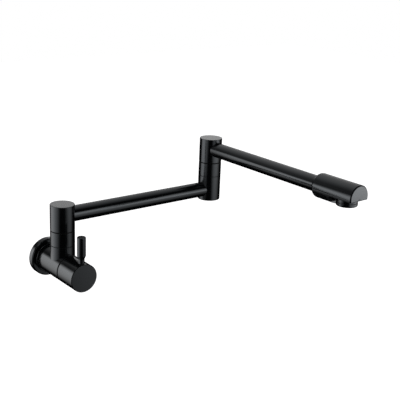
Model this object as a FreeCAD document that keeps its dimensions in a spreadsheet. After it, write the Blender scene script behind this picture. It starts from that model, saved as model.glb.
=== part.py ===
import FreeCAD, Part
import Sketcher
import os

# A wall mounted pot filler: a quarter-turn valve on a round wall flange, a riser swivel,
# a first arm parallel to the wall, an elbow swivel and a second arm with a D-shaped spout
# head. Millimetres. X runs to the right along the wall, -Y comes out of the wall, Z is up.
# The origin is the centre of the flange's back face.

doc = FreeCAD.newDocument("pot_filler")
os.makedirs("parts", exist_ok=True)
sheet = doc.addObject("Spreadsheet::Sheet", "Dims")
nodes = []


# ---------------------------------------------------------------- sizes and formulas

class Size:
    """A length that carries both its number and the sheet formula behind it."""

    def __init__(self, value, formula):
        self.value = value
        self.formula = formula

    def __add__(self, other):
        other = as_size(other)
        return Size(self.value + other.value, "(%s + %s)" % (self.formula, other.formula))

    def __sub__(self, other):
        other = as_size(other)
        return Size(self.value - other.value, "(%s - %s)" % (self.formula, other.formula))

    def __mul__(self, factor):
        return Size(self.value * factor, "(%s * %.9g)" % (self.formula, factor))

    def __neg__(self):
        return Size(-self.value, "(0 - %s)" % self.formula)


def as_size(number):
    if isinstance(number, Size):
        return number
    return Size(float(number), "%.9g" % number)


ZERO = as_size(0)
dim_names = []


def dim(name, value):
    """Write one driving dimension into the sheet and return it as a Size."""
    dim_names.append(name)
    row = len(dim_names)
    sheet.set("A%d" % row, name)
    sheet.set("B%d" % row, "%.9g" % value)
    sheet.setAlias("B%d" % row, name)
    return Size(float(value), "Dims." + name)


# fits
static_gap = dim("static_gap", 0.05)
running_gap = dim("running_gap", 0.06)
axial_play = dim("axial_play", 0.1)
line_chamfer = dim("line_chamfer", 0.4)
cut_overrun = dim("cut_overrun", 5.0)

# wall flange
flange_overhang = dim("flange_overhang", 7.8)
flange_side = dim("flange_side", 8.1)
flange_bevel = dim("flange_bevel", 1.4)
flange_plate = dim("flange_plate", 5.0)
flange_rim = dim("flange_rim", 1.85)
flange_hub_wall = dim("flange_hub_wall", 2.4)
gasket_squash = dim("gasket_squash", 0.1)
collar_wall = dim("collar_wall", 1.8)
collar_depth = dim("collar_depth", 2.9)
collar_bevel = dim("collar_bevel", 0.7)

# valve body, distances measured out from the wall
body_radius = dim("body_radius", 20.5)
body_back = dim("body_back", 2.0)
body_front = dim("body_front", 68.0)
inlet_socket_depth = dim("inlet_socket_depth", 14.0)
inlet_chamber_radius = dim("inlet_chamber_radius", 8.5)
seat_wall = dim("seat_wall", 4.0)
seat_port_radius = dim("seat_port_radius", 5.0)
cartridge_seat = dim("cartridge_seat", 34.0)
cartridge_bore_radius = dim("cartridge_bore_radius", 12.55)

# inlet nipple
nipple_radius = dim("nipple_radius", 10.48)
nipple_inner_radius = dim("nipple_inner_radius", 10.2)
nipple_bore_radius = dim("nipple_bore_radius", 7.0)
nipple_reach = dim("nipple_reach", 16.0)
nipple_shoulder = dim("nipple_shoulder", 1.5)
nipple_seal_thickness = dim("nipple_seal_thickness", 2.0)

# quarter-turn cartridge
cartridge_sleeve_radius = dim("cartridge_sleeve_radius", 10.9)
cartridge_cavity_radius = dim("cartridge_cavity_radius", 10.0)
cartridge_thread_start = dim("cartridge_thread_start", 55.0)
cartridge_cavity_end = dim("cartridge_cavity_end", 48.0)
cartridge_hex_flats = dim("cartridge_hex_flats", 19.0)
cartridge_hex_depth = dim("cartridge_hex_depth", 6.0)
cartridge_port_radius = dim("cartridge_port_radius", 4.0)
cartridge_port_depth = dim("cartridge_port_depth", 43.5)
seat_seal_thickness = dim("seat_seal_thickness", 2.5)
ceramic_radius = dim("ceramic_radius", 9.8)
ceramic_thickness = dim("ceramic_thickness", 3.0)
ceramic_port_radius = dim("ceramic_port_radius", 2.6)
ceramic_port_offset = dim("ceramic_port_offset", 4.6)
spindle_radius = dim("spindle_radius", 4.0)
spindle_foot_radius = dim("spindle_foot_radius", 8.0)
spindle_foot_depth = dim("spindle_foot_depth", 3.5)
spindle_end = dim("spindle_end", 92.0)

# handle cap and lever
seam_width = dim("seam_width", 1.5)
cap_face = dim("cap_face", 107.25)
cap_wall = dim("cap_wall", 3.0)
cap_front_wall = dim("cap_front_wall", 12.75)
cap_edge = dim("cap_edge", 0.6)
cap_boss_radius = dim("cap_boss_radius", 9.0)
cap_boss_start = dim("cap_boss_start", 78.0)
cap_socket_end = dim("cap_socket_end", 92.5)
guide_ring_inner = dim("guide_ring_inner", 17.8)
guide_ring_outer = dim("guide_ring_outer", 19.9)
grub_depth = dim("grub_depth", 86.0)
grub_radius = dim("grub_radius", 2.0)
grub_length = dim("grub_length", 4.8)
grub_flats = dim("grub_flats", 2.0)
grub_socket_depth = dim("grub_socket_depth", 2.2)
grub_access_radius = dim("grub_access_radius", 2.6)
lever_inset = dim("lever_inset", 7.5)
lever_radius = dim("lever_radius", 6.0)
lever_top = dim("lever_top", 58.7)
lever_edge = dim("lever_edge", 0.9)
lever_cone_top = dim("lever_cone_top", 30.9)
lever_cone_bottom = dim("lever_cone_bottom", 25.3)
lever_cone_radius = dim("lever_cone_radius", 3.8)
stem_radius = dim("stem_radius", 3.3)
stem_bottom = dim("stem_bottom", 12.5)
stem_top = dim("stem_top", 34.0)

# swivel columns, heights measured from the foot of the spacer ring
column_radius = dim("column_radius", 17.5)
column_edge = dim("column_edge", 1.2)
riser_out = dim("riser_out", 48.0)
stub_top = dim("stub_top", 31.75)
ring_height = dim("ring_height", 22.25)
joint_seam = dim("joint_seam", 0.8)
ring_pocket_radius = dim("ring_pocket_radius", 13.5)
ring_pocket_height = dim("ring_pocket_height", 13.0)
head_height = dim("head_height", 37.55)
head_axis = dim("head_axis", 20.85)
bearing_land = dim("bearing_land", 10.0)
chamber_radius = dim("chamber_radius", 12.5)
chamber_height = dim("chamber_height", 16.5)
shoulder_height = dim("shoulder_height", 5.75)
clip_room_radius = dim("clip_room_radius", 11.4)
top_cap_thickness = dim("top_cap_thickness", 2.0)
head_port_radius = dim("head_port_radius", 6.0)
spigot_radius = dim("spigot_radius", 9.0)
spigot_bore_radius = dim("spigot_bore_radius", 5.6)
spigot_foot_radius = dim("spigot_foot_radius", 10.0)
spigot_foot_length = dim("spigot_foot_length", 14.0)
spigot_hex_flats = dim("spigot_hex_flats", 22.0)
spigot_hex_height = dim("spigot_hex_height", 4.0)
spigot_port_radius = dim("spigot_port_radius", 4.5)
o_ring_section = dim("o_ring_section", 1.7)
groove_width = dim("groove_width", 2.4)
washer_thickness = dim("washer_thickness", 0.7)
washer_inset = dim("washer_inset", 0.9)
clip_thickness = dim("clip_thickness", 1.0)
clip_groove_depth = dim("clip_groove_depth", 1.0)
clip_outer_radius = dim("clip_outer_radius", 10.9)
clip_gap_half = dim("clip_gap_half", 2.2)

# arms
arm_radius = dim("arm_radius", 11.4)
arm_wall = dim("arm_wall", 1.5)
arm_root = dim("arm_root", 12.0)
arm_span = dim("arm_span", 264.0)
elbow_drop = dim("elbow_drop", 16.45)
elbow_rise = dim("elbow_rise", 21.9)
elbow_edge = dim("elbow_edge", 0.8)
elbow_bore_floor = dim("elbow_bore_floor", 3.0)
elbow_port_radius = dim("elbow_port_radius", 8.5)

# spout head; spout_end is measured out from the elbow axis, the rest from the spout's ends
spout_end = dim("spout_end", 307.4)
spout_length = dim("spout_length", 74.4)
spout_radius = dim("spout_radius", 17.2)
spout_cone_length = dim("spout_cone_length", 3.5)
spout_shoulder_radius = dim("spout_shoulder_radius", 5.0)
spout_edge = dim("spout_edge", 0.8)
spout_mouth_lip = dim("spout_mouth_lip", 1.0)
spout_socket_length = dim("spout_socket_length", 17.5)
spout_chamber_radius = dim("spout_chamber_radius", 9.0)
spout_chamber_wall = dim("spout_chamber_wall", 7.1)
flat_length = dim("flat_length", 38.3)
flat_drop = dim("flat_drop", 4.65)
channel_radius = dim("channel_radius", 5.0)
channel_rise = dim("channel_rise", 4.3)

# aerator
nozzle_inset = dim("nozzle_inset", 20.9)
nozzle_thread_radius = dim("nozzle_thread_radius", 12.0)
nozzle_socket_height = dim("nozzle_socket_height", 9.8)
nozzle_radius = dim("nozzle_radius", 14.6)
nozzle_drop = dim("nozzle_drop", 10.4)
nozzle_edge = dim("nozzle_edge", 1.5)
nozzle_neck = dim("nozzle_neck", 8.0)
nozzle_bore_radius = dim("nozzle_bore_radius", 10.4)
nozzle_lip = dim("nozzle_lip", 0.8)
nozzle_line = dim("nozzle_line", 0.5)
insert_wall = dim("insert_wall", 1.5)
insert_floor = dim("insert_floor", 2.4)
insert_top = dim("insert_top", 6.0)
jet_radius = dim("jet_radius", 0.9)
jet_ring_inner = dim("jet_ring_inner", 3.4)
jet_ring_outer = dim("jet_ring_outer", 6.6)
inner_jet_count = 6
outer_jet_count = 12

# sizes that follow from those above
flange_radius = body_radius + flange_overhang
lever_depth = cap_face - lever_inset
arm_one_height = stub_top + ring_height + head_axis
elbow_joint_foot = arm_one_height + elbow_rise
arm_two_height = elbow_joint_foot + ring_height + head_axis
spout_start = spout_end - spout_length
flat_start = spout_end - flat_length
spout_chamber_end = flat_start - spout_chamber_wall
nozzle_out = spout_end - nozzle_inset


# ---------------------------------------------------------------- building helpers

def new_body(name, base=(ZERO, ZERO, ZERO), rotation=None):
    """Start one named sub-part at a placement that follows the sheet."""
    body = doc.addObject("PartDesign::Body", name)
    body.Label = name
    turn = rotation or FreeCAD.Rotation()
    spot = FreeCAD.Vector(base[0].value, base[1].value, base[2].value)
    body.Placement = FreeCAD.Placement(spot, turn)
    for axis, size in zip("xyz", base):
        body.setExpression("Placement.Base." + axis, size.formula)
    nodes.append(body)
    return body


def new_sketch(body, name, role, start):
    """Attach an empty sketch to one of the body's own planes, moved out by start."""
    sketch = body.newObject("Sketcher::SketchObject", name)
    for plane in body.Origin.OriginFeatures:
        if plane.Role == role:
            sketch.AttachmentSupport = (plane, [""])
    sketch.MapMode = "FlatFace"
    sketch.AttachmentOffset = FreeCAD.Placement(FreeCAD.Vector(0, 0, start.value), FreeCAD.Rotation())
    sketch.setExpression(".AttachmentOffset.Base.z", start.formula)
    return sketch


def drive(sketch, constraint, size):
    index = sketch.addConstraint(constraint)
    sketch.setExpression("Constraints[%d]" % index, size.formula)


def fix_point(sketch, geometry, end, across, up):
    """Tie one point to the sketch origin by its two sizes."""
    if across.value == 0:
        sketch.addConstraint(Sketcher.Constraint("PointOnObject", geometry, end, -2))
    else:
        drive(sketch, Sketcher.Constraint("DistanceX", -1, 1, geometry, end, across.value), across)
    if up.value == 0:
        sketch.addConstraint(Sketcher.Constraint("PointOnObject", geometry, end, -1))
    else:
        drive(sketch, Sketcher.Constraint("DistanceY", -1, 1, geometry, end, up.value), up)


def draw_outline(sketch, points):
    """Draw a closed outline of straight lines through the points."""
    points = [(as_size(across), as_size(up)) for across, up in points]
    first = sketch.GeometryCount
    count = len(points)
    for index in range(count):
        start = points[index]
        end = points[(index + 1) % count]
        sketch.addGeometry(Part.LineSegment(
            FreeCAD.Vector(start[0].value, start[1].value, 0),
            FreeCAD.Vector(end[0].value, end[1].value, 0)), False)
    for index in range(count):
        following = first + (index + 1) % count
        sketch.addConstraint(Sketcher.Constraint("Coincident", first + index, 2, following, 1))
    for index in range(count):
        fix_point(sketch, first + index, 1, points[index][0], points[index][1])


def draw_circle(sketch, across, up, radius):
    across = as_size(across)
    up = as_size(up)
    centre = FreeCAD.Vector(across.value, up.value, 0)
    index = sketch.addGeometry(Part.Circle(centre, FreeCAD.Vector(0, 0, 1), radius.value), False)
    drive(sketch, Sketcher.Constraint("Radius", index, radius.value), radius)
    fix_point(sketch, index, 3, across, up)


HEX_CORNER_PER_FLATS = 0.577350269


def draw_hexagon(sketch, flats):
    """Draw a hexagon about the sketch origin from its width across flats."""
    corner = flats * HEX_CORNER_PER_FLATS
    half = flats * 0.5
    draw_outline(sketch, [
        (corner, 0), (corner * 0.5, half), (corner * -0.5, half),
        (-corner, 0), (corner * -0.5, -half), (corner * 0.5, -half)])


LEAST_CHANGE = 1e-6
SAME_LENGTH = 1e-3


def settle(body, feature, removes):
    """Recompute and make sure that the feature really added or removed material."""
    before = body.Tip.Shape.Volume if body.Tip and body.Tip is not feature else 0.0
    body.Tip = feature
    doc.recompute()
    change = feature.Shape.Volume - before
    if removes and change > -LEAST_CHANGE:
        raise ValueError(feature.Name + " removed nothing")
    if not removes and change < LEAST_CHANGE:
        raise ValueError(feature.Name + " added nothing")
    return feature


def revolve(body, sketch, removes=False):
    """Turn a sketch about its own upright axis, as a solid or as a groove."""
    tip = body.Tip
    kind = "PartDesign::Groove" if removes else "PartDesign::Revolution"
    feature = body.newObject(kind, body.Name + ("_groove" if removes else "_turned"))
    feature.Profile = sketch
    feature.ReferenceAxis = (sketch, ["V_Axis"])
    feature.Angle = 360
    sketch.Visibility = False
    body.Tip = tip
    return settle(body, feature, removes)


def turned(name, points, base=(ZERO, ZERO, ZERO), rotation=None):
    """One turned piece from its half section of (radius, height) points."""
    body = new_body(name, base, rotation)
    sketch = new_sketch(body, name + "_section", "XZ_Plane", ZERO)
    draw_outline(sketch, points)
    revolve(body, sketch)
    return body


def push(body, sketch, length, along, removes, both_ways=False):
    """Pad or pocket a sketch; along is +1 with the plane's normal and -1 against it."""
    tip = body.Tip
    kind = "PartDesign::Pocket" if removes else "PartDesign::Pad"
    feature = body.newObject(kind, sketch.Name + ("_cut" if removes else "_pad"))
    feature.Profile = sketch
    feature.Length = length.value
    feature.setExpression("Length", length.formula)
    if both_ways:
        feature.Midplane = True
    elif removes:
        feature.Reversed = along > 0
    else:
        feature.Reversed = along < 0
    sketch.Visibility = False
    body.Tip = tip
    return settle(body, feature, removes)


def round_cut(body, name, role, centre, radius, start, length, along, both_ways=False):
    """Cut one round hole from a plane of the body."""
    sketch = new_sketch(body, body.Name + "_" + name, role, start)
    draw_circle(sketch, centre[0], centre[1], radius)
    return push(body, sketch, length, along, True, both_ways)


def ring_edges(shape, radius, axis, height):
    """Names of the circular edges of one radius whose centre is at one height."""
    names = []
    for index, edge in enumerate(shape.Edges):
        if edge.Curve.TypeId != "Part::GeomCircle":
            continue
        centre = getattr(edge.Curve.Center, axis)
        same_radius = abs(edge.Curve.Radius - radius.value) < SAME_LENGTH
        if same_radius and abs(centre - height.value) < SAME_LENGTH:
            names.append("Edge%d" % (index + 1))
    return names


def dress(body, kind, name, edges, size):
    """Chamfer or fillet some edges of the body's last feature."""
    tip = body.Tip
    feature = body.newObject("PartDesign::" + kind, name)
    feature.Base = (tip, edges)
    prop = "Size" if kind == "Chamfer" else "Radius"
    setattr(feature, prop, size.value)
    feature.setExpression(prop, size.formula)
    body.Tip = feature
    doc.recompute()
    return feature


# the pieces whose axis comes straight out of the wall are turned upright and laid over:
# their own Z is the way out of the wall and their own Y is up
OUT = FreeCAD.Rotation(FreeCAD.Vector(1, 0, 0), 90)
ALONG_WALL = FreeCAD.Rotation(FreeCAD.Vector(0, 1, 0), 90)
QUARTER_TURN = FreeCAD.Rotation(FreeCAD.Vector(0, 0, 1), -90)


# ---------------------------------------------------------------- wall flange and inlet

hub_radius = body_radius + static_gap
flange_face = flange_side + flange_bevel
cup_depth = flange_face - flange_plate
cup_radius = flange_radius - flange_rim
hub_outer = hub_radius + flange_hub_wall

turned("wall_flange", [
    (cup_radius, 0), (flange_radius, 0), (flange_radius, flange_side),
    (flange_radius - flange_bevel, flange_face), (hub_radius, flange_face),
    (hub_radius, body_back), (hub_outer, body_back), (hub_outer, cup_depth),
    (cup_radius, cup_depth)], rotation=OUT)

turned("flange_gasket", [
    (hub_outer + static_gap, gasket_squash), (cup_radius - static_gap, gasket_squash),
    (cup_radius - static_gap, cup_depth), (hub_outer + static_gap, cup_depth)], rotation=OUT)

turned("collar_ring", [
    (hub_radius, flange_face), (hub_radius + collar_wall, flange_face),
    (hub_radius + collar_wall, flange_face + collar_depth - collar_bevel),
    (hub_radius + collar_wall - collar_bevel, flange_face + collar_depth),
    (hub_radius, flange_face + collar_depth)], rotation=OUT)

nipple_end = body_back + inlet_socket_depth - nipple_seal_thickness
turned("inlet_nipple", [
    (nipple_bore_radius, -nipple_reach), (nipple_radius - line_chamfer, -nipple_reach),
    (nipple_radius, line_chamfer - nipple_reach), (nipple_radius, nipple_shoulder),
    (nipple_inner_radius, nipple_shoulder), (nipple_inner_radius, nipple_end),
    (nipple_bore_radius, nipple_end)], rotation=OUT)

turned("inlet_seal", [
    (nipple_bore_radius + static_gap, nipple_end),
    (nipple_inner_radius, nipple_end),
    (nipple_inner_radius, nipple_end + nipple_seal_thickness),
    (nipple_bore_radius + static_gap, nipple_end + nipple_seal_thickness)], rotation=OUT)


# ---------------------------------------------------------------- valve body

valve = turned("valve_body", [
    (0, body_back), (body_radius, body_back), (body_radius, body_front - line_chamfer),
    (body_radius - line_chamfer, body_front), (0, body_front)], rotation=OUT)

stub = new_sketch(valve, "riser_stub", "XZ_Plane", ZERO)
draw_circle(stub, 0, riser_out, column_radius)
push(valve, stub, stub_top, -1, False)
stub_rim = ring_edges(valve.Tip.Shape, column_radius, "y", stub_top)
dress(valve, "Chamfer", "riser_stub_edge", stub_rim, line_chamfer)

waterway = new_sketch(valve, "waterway", "XZ_Plane", ZERO)
inlet_end = body_back + inlet_socket_depth
chamber_end = cartridge_seat - seat_wall
draw_outline(waterway, [
    (0, body_back), (nipple_inner_radius + static_gap, body_back),
    (nipple_inner_radius + static_gap, inlet_end), (inlet_chamber_radius, inlet_end),
    (inlet_chamber_radius, chamber_end), (seat_port_radius, chamber_end),
    (seat_port_radius, cartridge_seat), (cartridge_bore_radius, cartridge_seat),
    (cartridge_bore_radius, body_front), (0, body_front)])
revolve(valve, waterway, removes=True)
round_cut(valve, "riser_waterway", "XZ_Plane", (0, riser_out), spigot_bore_radius,
          ZERO, stub_top, -1)
round_cut(valve, "spigot_socket", "XZ_Plane", (0, riser_out), spigot_foot_radius + static_gap,
          spigot_foot_length - stub_top, spigot_foot_length, -1)


# ---------------------------------------------------------------- quarter-turn cartridge

disc_start = cartridge_seat + seat_seal_thickness
turning_start = disc_start + ceramic_thickness + static_gap
foot_start = turning_start + ceramic_thickness
foot_end = foot_start + spindle_foot_depth
thread_radius = cartridge_bore_radius - static_gap
spindle_bore = spindle_radius + running_gap

cartridge = turned("cartridge_body", [
    (cartridge_cavity_radius, cartridge_seat + static_gap),
    (cartridge_sleeve_radius, cartridge_seat + static_gap),
    (cartridge_sleeve_radius, cartridge_thread_start), (thread_radius, cartridge_thread_start),
    (thread_radius, body_front), (spindle_bore, body_front),
    (spindle_bore, cartridge_cavity_end), (cartridge_cavity_radius, cartridge_cavity_end)],
    rotation=OUT)
cartridge_hex = new_sketch(cartridge, "cartridge_hex", "XY_Plane", body_front)
draw_hexagon(cartridge_hex, cartridge_hex_flats)
draw_circle(cartridge_hex, 0, 0, spindle_bore)
push(cartridge, cartridge_hex, cartridge_hex_depth, 1, False)
round_cut(cartridge, "side_ports", "XZ_Plane", (0, cartridge_port_depth), cartridge_port_radius,
          ZERO, cartridge_sleeve_radius * 2 + cut_overrun, 1, both_ways=True)

turned("cartridge_seal", [
    (seat_port_radius + static_gap, cartridge_seat),
    (cartridge_cavity_radius - static_gap, cartridge_seat),
    (cartridge_cavity_radius - static_gap, disc_start),
    (seat_port_radius + static_gap, disc_start)], rotation=OUT)


def ceramic_disc(name, start, port_axis):
    """One lapped disc of the cartridge, with its two water ports."""
    disc = turned(name, [
        (0, start), (ceramic_radius, start), (ceramic_radius, start + ceramic_thickness),
        (0, start + ceramic_thickness)], rotation=OUT)
    ports = new_sketch(disc, name + "_ports", "XY_Plane", start)
    for side in (1, -1):
        offset = ceramic_port_offset * side
        if port_axis == "upright":
            draw_circle(ports, 0, offset, ceramic_port_radius)
        else:
            draw_circle(ports, offset, 0, ceramic_port_radius)
    push(disc, ports, ceramic_thickness, 1, True)
    return disc


ceramic_disc("ceramic_fixed", disc_start, "upright")
ceramic_disc("ceramic_turning", turning_start, "level")

turned("cartridge_spindle", [
    (0, foot_start), (spindle_foot_radius, foot_start), (spindle_foot_radius, foot_end),
    (spindle_radius, foot_end), (spindle_radius, spindle_end - line_chamfer),
    (spindle_radius - line_chamfer, spindle_end), (0, spindle_end)], rotation=OUT)

cap_back = body_front + seam_width
turned("cap_guide_ring", [
    (guide_ring_inner, body_front), (guide_ring_outer, body_front),
    (guide_ring_outer, cap_back - axial_play), (guide_ring_inner, cap_back - axial_play)],
    rotation=OUT)


# ---------------------------------------------------------------- handle cap and lever

cap_inside = body_radius - cap_wall
cap_floor = cap_face - cap_front_wall
socket_radius = spindle_radius + static_gap
cap = turned("handle_cap", [
    (cap_inside, cap_back), (body_radius - line_chamfer, cap_back),
    (body_radius, cap_back + line_chamfer), (body_radius, cap_face - cap_edge),
    (body_radius - cap_edge, cap_face), (0, cap_face), (0, cap_socket_end),
    (socket_radius, cap_socket_end), (socket_radius, cap_boss_start),
    (cap_boss_radius, cap_boss_start), (cap_boss_radius, cap_floor), (cap_inside, cap_floor)],
    rotation=OUT)
round_cut(cap, "grub_thread", "XZ_Plane", (0, grub_depth), grub_radius + static_gap,
          ZERO, cap_boss_radius + line_chamfer, 1)
round_cut(cap, "grub_access", "XZ_Plane", (0, grub_depth), grub_access_radius,
          cap_inside - line_chamfer, cap_wall + cut_overrun, 1)
round_cut(cap, "stem_socket", "XZ_Plane", (0, lever_depth), stem_radius + static_gap,
          -stem_bottom, body_radius, -1)

grub = turned("grub_screw", [
    (0, 0), (grub_radius - line_chamfer, 0), (grub_radius, line_chamfer),
    (grub_radius, grub_length), (0, grub_length)],
    base=(ZERO, -grub_depth, -spindle_radius - grub_length - static_gap))
grub_key = new_sketch(grub, "grub_key", "XY_Plane", ZERO)
draw_hexagon(grub_key, grub_flats)
push(grub, grub_key, grub_socket_depth, 1, True)

lever_spot = (ZERO, -lever_depth, ZERO)
turned("lever_stem", [
    (0, stem_bottom), (stem_radius - line_chamfer, stem_bottom),
    (stem_radius, stem_bottom + line_chamfer), (stem_radius, stem_top - line_chamfer),
    (stem_radius - line_chamfer, stem_top), (0, stem_top)], base=lever_spot)
turned("lever_grip", [
    (stem_radius + static_gap, lever_cone_bottom), (lever_cone_radius, lever_cone_bottom),
    (lever_radius, lever_cone_top), (lever_radius, lever_top - lever_edge),
    (lever_radius - lever_edge, lever_top), (0, lever_top), (0, stem_top),
    (stem_radius + static_gap, stem_top)], base=lever_spot)


# ---------------------------------------------------------------- swivels

def swivel(prefix, spot, rotation):
    """The spigot, spacer ring, seals and turning head of one swivel column.

    Heights are from the foot of the spacer ring, and the arm leaves the head along
    the swivel's own X.
    """
    head_foot = ring_height
    head_top = head_foot + head_height
    ring_top = ring_height - joint_seam
    chamber_foot = head_foot + bearing_land
    chamber_top = chamber_foot + chamber_height
    shoulder_top = chamber_top + shoulder_height
    cap_foot = head_top - top_cap_thickness
    bore = spigot_radius + running_gap
    groove_radius = spigot_radius - o_ring_section
    seal_heights = (head_foot + bearing_land * 0.5, chamber_top + shoulder_height * 0.5)
    clip_foot = shoulder_top + axial_play
    clip_top = clip_foot + clip_thickness
    clip_radius = spigot_radius - clip_groove_depth
    spigot_top = cap_foot - joint_seam
    bore_top = head_foot + head_axis + spigot_port_radius
    half_groove = groove_width * 0.5

    spigot = turned(prefix + "_spigot", [
        (spigot_bore_radius, -spigot_foot_length), (spigot_foot_radius, -spigot_foot_length),
        (spigot_foot_radius, 0), (spigot_radius, 0),
        (spigot_radius, seal_heights[0] - half_groove),
        (groove_radius, seal_heights[0] - half_groove),
        (groove_radius, seal_heights[0] + half_groove),
        (spigot_radius, seal_heights[0] + half_groove),
        (spigot_radius, seal_heights[1] - half_groove),
        (groove_radius, seal_heights[1] - half_groove),
        (groove_radius, seal_heights[1] + half_groove),
        (spigot_radius, seal_heights[1] + half_groove),
        (spigot_radius, clip_foot), (clip_radius, clip_foot), (clip_radius, clip_top),
        (spigot_radius, clip_top), (spigot_radius, spigot_top - line_chamfer),
        (spigot_radius - line_chamfer, spigot_top), (0, spigot_top), (0, bore_top),
        (spigot_bore_radius, bore_top)], spot, rotation)
    nut = new_sketch(spigot, prefix + "_spigot_nut", "XY_Plane", ZERO)
    draw_hexagon(nut, spigot_hex_flats)
    draw_circle(nut, 0, 0, spigot_bore_radius)
    push(spigot, nut, spigot_hex_height, 1, False)
    port_height = head_foot + head_axis - spigot_port_radius * 0.5
    for plane in ("YZ_Plane", "XZ_Plane"):
        round_cut(spigot, "ports_" + plane[:2], plane, (0, port_height), spigot_port_radius,
                  ZERO, spigot_radius * 2 + cut_overrun, 1, both_ways=True)

    turned(prefix + "_ring", [
        (ring_pocket_radius, 0), (column_radius - line_chamfer, 0),
        (column_radius, line_chamfer), (column_radius, ring_top - line_chamfer),
        (column_radius - line_chamfer, ring_top), (bore + running_gap, ring_top),
        (bore + running_gap, ring_pocket_height), (ring_pocket_radius, ring_pocket_height)],
        spot, rotation)

    turned(prefix + "_thrust_washer", [
        (bore + running_gap, ring_top), (column_radius - washer_inset, ring_top),
        (column_radius - washer_inset, ring_top + washer_thickness),
        (bore + running_gap, ring_top + washer_thickness)], spot, rotation)

    seals = []
    for index, height in enumerate(seal_heights):
        seal = doc.addObject("Part::Torus", "%s_o_ring_%d" % (prefix, index + 1))
        middle = spigot_radius - o_ring_section * 0.5
        seal.Radius1 = middle.value
        seal.setExpression("Radius1", middle.formula)
        seal.Radius2 = o_ring_section.value / 2
        seal.setExpression("Radius2", (o_ring_section * 0.5).formula)
        seal.Placement = FreeCAD.Placement(FreeCAD.Vector(0, 0, height.value), FreeCAD.Rotation())
        seal.setExpression("Placement.Base.z", height.formula)
        seals.append(seal)
    pair = doc.addObject("Part::Compound", prefix + "_o_rings")
    pair.Label = prefix + "_o_rings"
    pair.Links = seals
    pair.Placement = FreeCAD.Placement(
        FreeCAD.Vector(spot[0].value, spot[1].value, spot[2].value), FreeCAD.Rotation())
    for axis, size in zip("xyz", spot):
        pair.setExpression("Placement.Base." + axis, size.formula)
    nodes.append(pair)

    clip = turned(prefix + "_circlip", [
        (clip_radius + static_gap, clip_foot), (clip_outer_radius, clip_foot),
        (clip_outer_radius, clip_top), (clip_radius + static_gap, clip_top)], spot, rotation)
    mouth = new_sketch(clip, prefix + "_clip_mouth", "XY_Plane", clip_foot)
    draw_outline(mouth, [
        (-clip_gap_half, 0), (clip_gap_half, 0),
        (clip_gap_half, -clip_outer_radius - cut_overrun),
        (-clip_gap_half, -clip_outer_radius - cut_overrun)])
    push(clip, mouth, clip_thickness, 1, True)

    head = turned(prefix + "_head", [
        (bore, head_foot), (column_radius - line_chamfer, head_foot),
        (column_radius, head_foot + line_chamfer), (column_radius, head_top - column_edge),
        (column_radius - column_edge, head_top), (column_radius - column_edge, cap_foot),
        (clip_room_radius, cap_foot), (clip_room_radius, shoulder_top), (bore, shoulder_top),
        (bore, chamber_top), (chamber_radius, chamber_top), (chamber_radius, chamber_foot),
        (bore, chamber_foot)], spot, rotation)
    port_centre = (0, head_foot + head_axis)
    round_cut(head, "arm_socket", "YZ_Plane", port_centre, arm_radius + static_gap,
              arm_root, column_radius, 1)
    round_cut(head, "arm_port", "YZ_Plane", port_centre, head_port_radius,
              spigot_radius, arm_root - spigot_radius + static_gap, 1)

    turned(prefix + "_top_cap", [
        (0, cap_foot), (column_radius - column_edge - static_gap, cap_foot),
        (column_radius - column_edge - static_gap, head_top), (0, head_top)], spot, rotation)


swivel("riser", (ZERO, -riser_out, stub_top), FreeCAD.Rotation())
swivel("elbow", (arm_span, -riser_out, elbow_joint_foot), QUARTER_TURN)


# ---------------------------------------------------------------- arms

arm_bore = arm_radius - arm_wall
turned("arm_1_tube", [
    (arm_bore, arm_root), (arm_radius, arm_root), (arm_radius, arm_span - arm_root),
    (arm_bore, arm_span - arm_root)],
    base=(ZERO, -riser_out, arm_one_height), rotation=ALONG_WALL)

elbow_foot = arm_one_height - elbow_drop
elbow = turned("elbow_base", [
    (0, 0), (column_radius - elbow_edge, 0), (column_radius, elbow_edge),
    (column_radius, elbow_drop + elbow_rise - line_chamfer),
    (column_radius - line_chamfer, elbow_drop + elbow_rise),
    (spigot_foot_radius + static_gap, elbow_drop + elbow_rise),
    (spigot_foot_radius + static_gap, elbow_bore_floor), (0, elbow_bore_floor)],
    base=(arm_span, -riser_out, elbow_foot))
round_cut(elbow, "arm_socket", "YZ_Plane", (0, elbow_drop), arm_radius + static_gap,
          -arm_root, column_radius, -1)
round_cut(elbow, "arm_port", "YZ_Plane", (0, elbow_drop), elbow_port_radius,
          -arm_root - static_gap, arm_root * 0.5, 1)

arm_two_spot = (arm_span, -riser_out, arm_two_height)
arm_two_end = spout_start + spout_socket_length
turned("arm_2_tube", [
    (arm_bore, arm_root), (arm_radius, arm_root), (arm_radius, arm_two_end),
    (arm_bore, arm_two_end)], base=arm_two_spot, rotation=OUT)


# ---------------------------------------------------------------- spout head and aerator

mouth_radius = arm_radius + spout_mouth_lip
spout = turned("spout_head", [
    (0, spout_start), (mouth_radius, spout_start),
    (spout_radius, spout_start + spout_cone_length),
    (spout_radius, spout_end - spout_edge), (spout_radius - spout_edge, spout_end),
    (0, spout_end)], base=arm_two_spot, rotation=OUT)
shoulder = ring_edges(spout.Tip.Shape, spout_radius, "z", spout_start + spout_cone_length)
dress(spout, "Fillet", "spout_shoulder", shoulder, spout_shoulder_radius)

under_cut = new_sketch(spout, "under_cut", "YZ_Plane", ZERO)
beyond_end = spout_end + cut_overrun
below_spout = -spout_radius - cut_overrun
draw_outline(under_cut, [
    (-flat_drop, flat_start), (-flat_drop, beyond_end), (below_spout, beyond_end),
    (below_spout, flat_start)])
push(spout, under_cut, spout_radius * 2 + cut_overrun, 1, True, both_ways=True)

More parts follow.
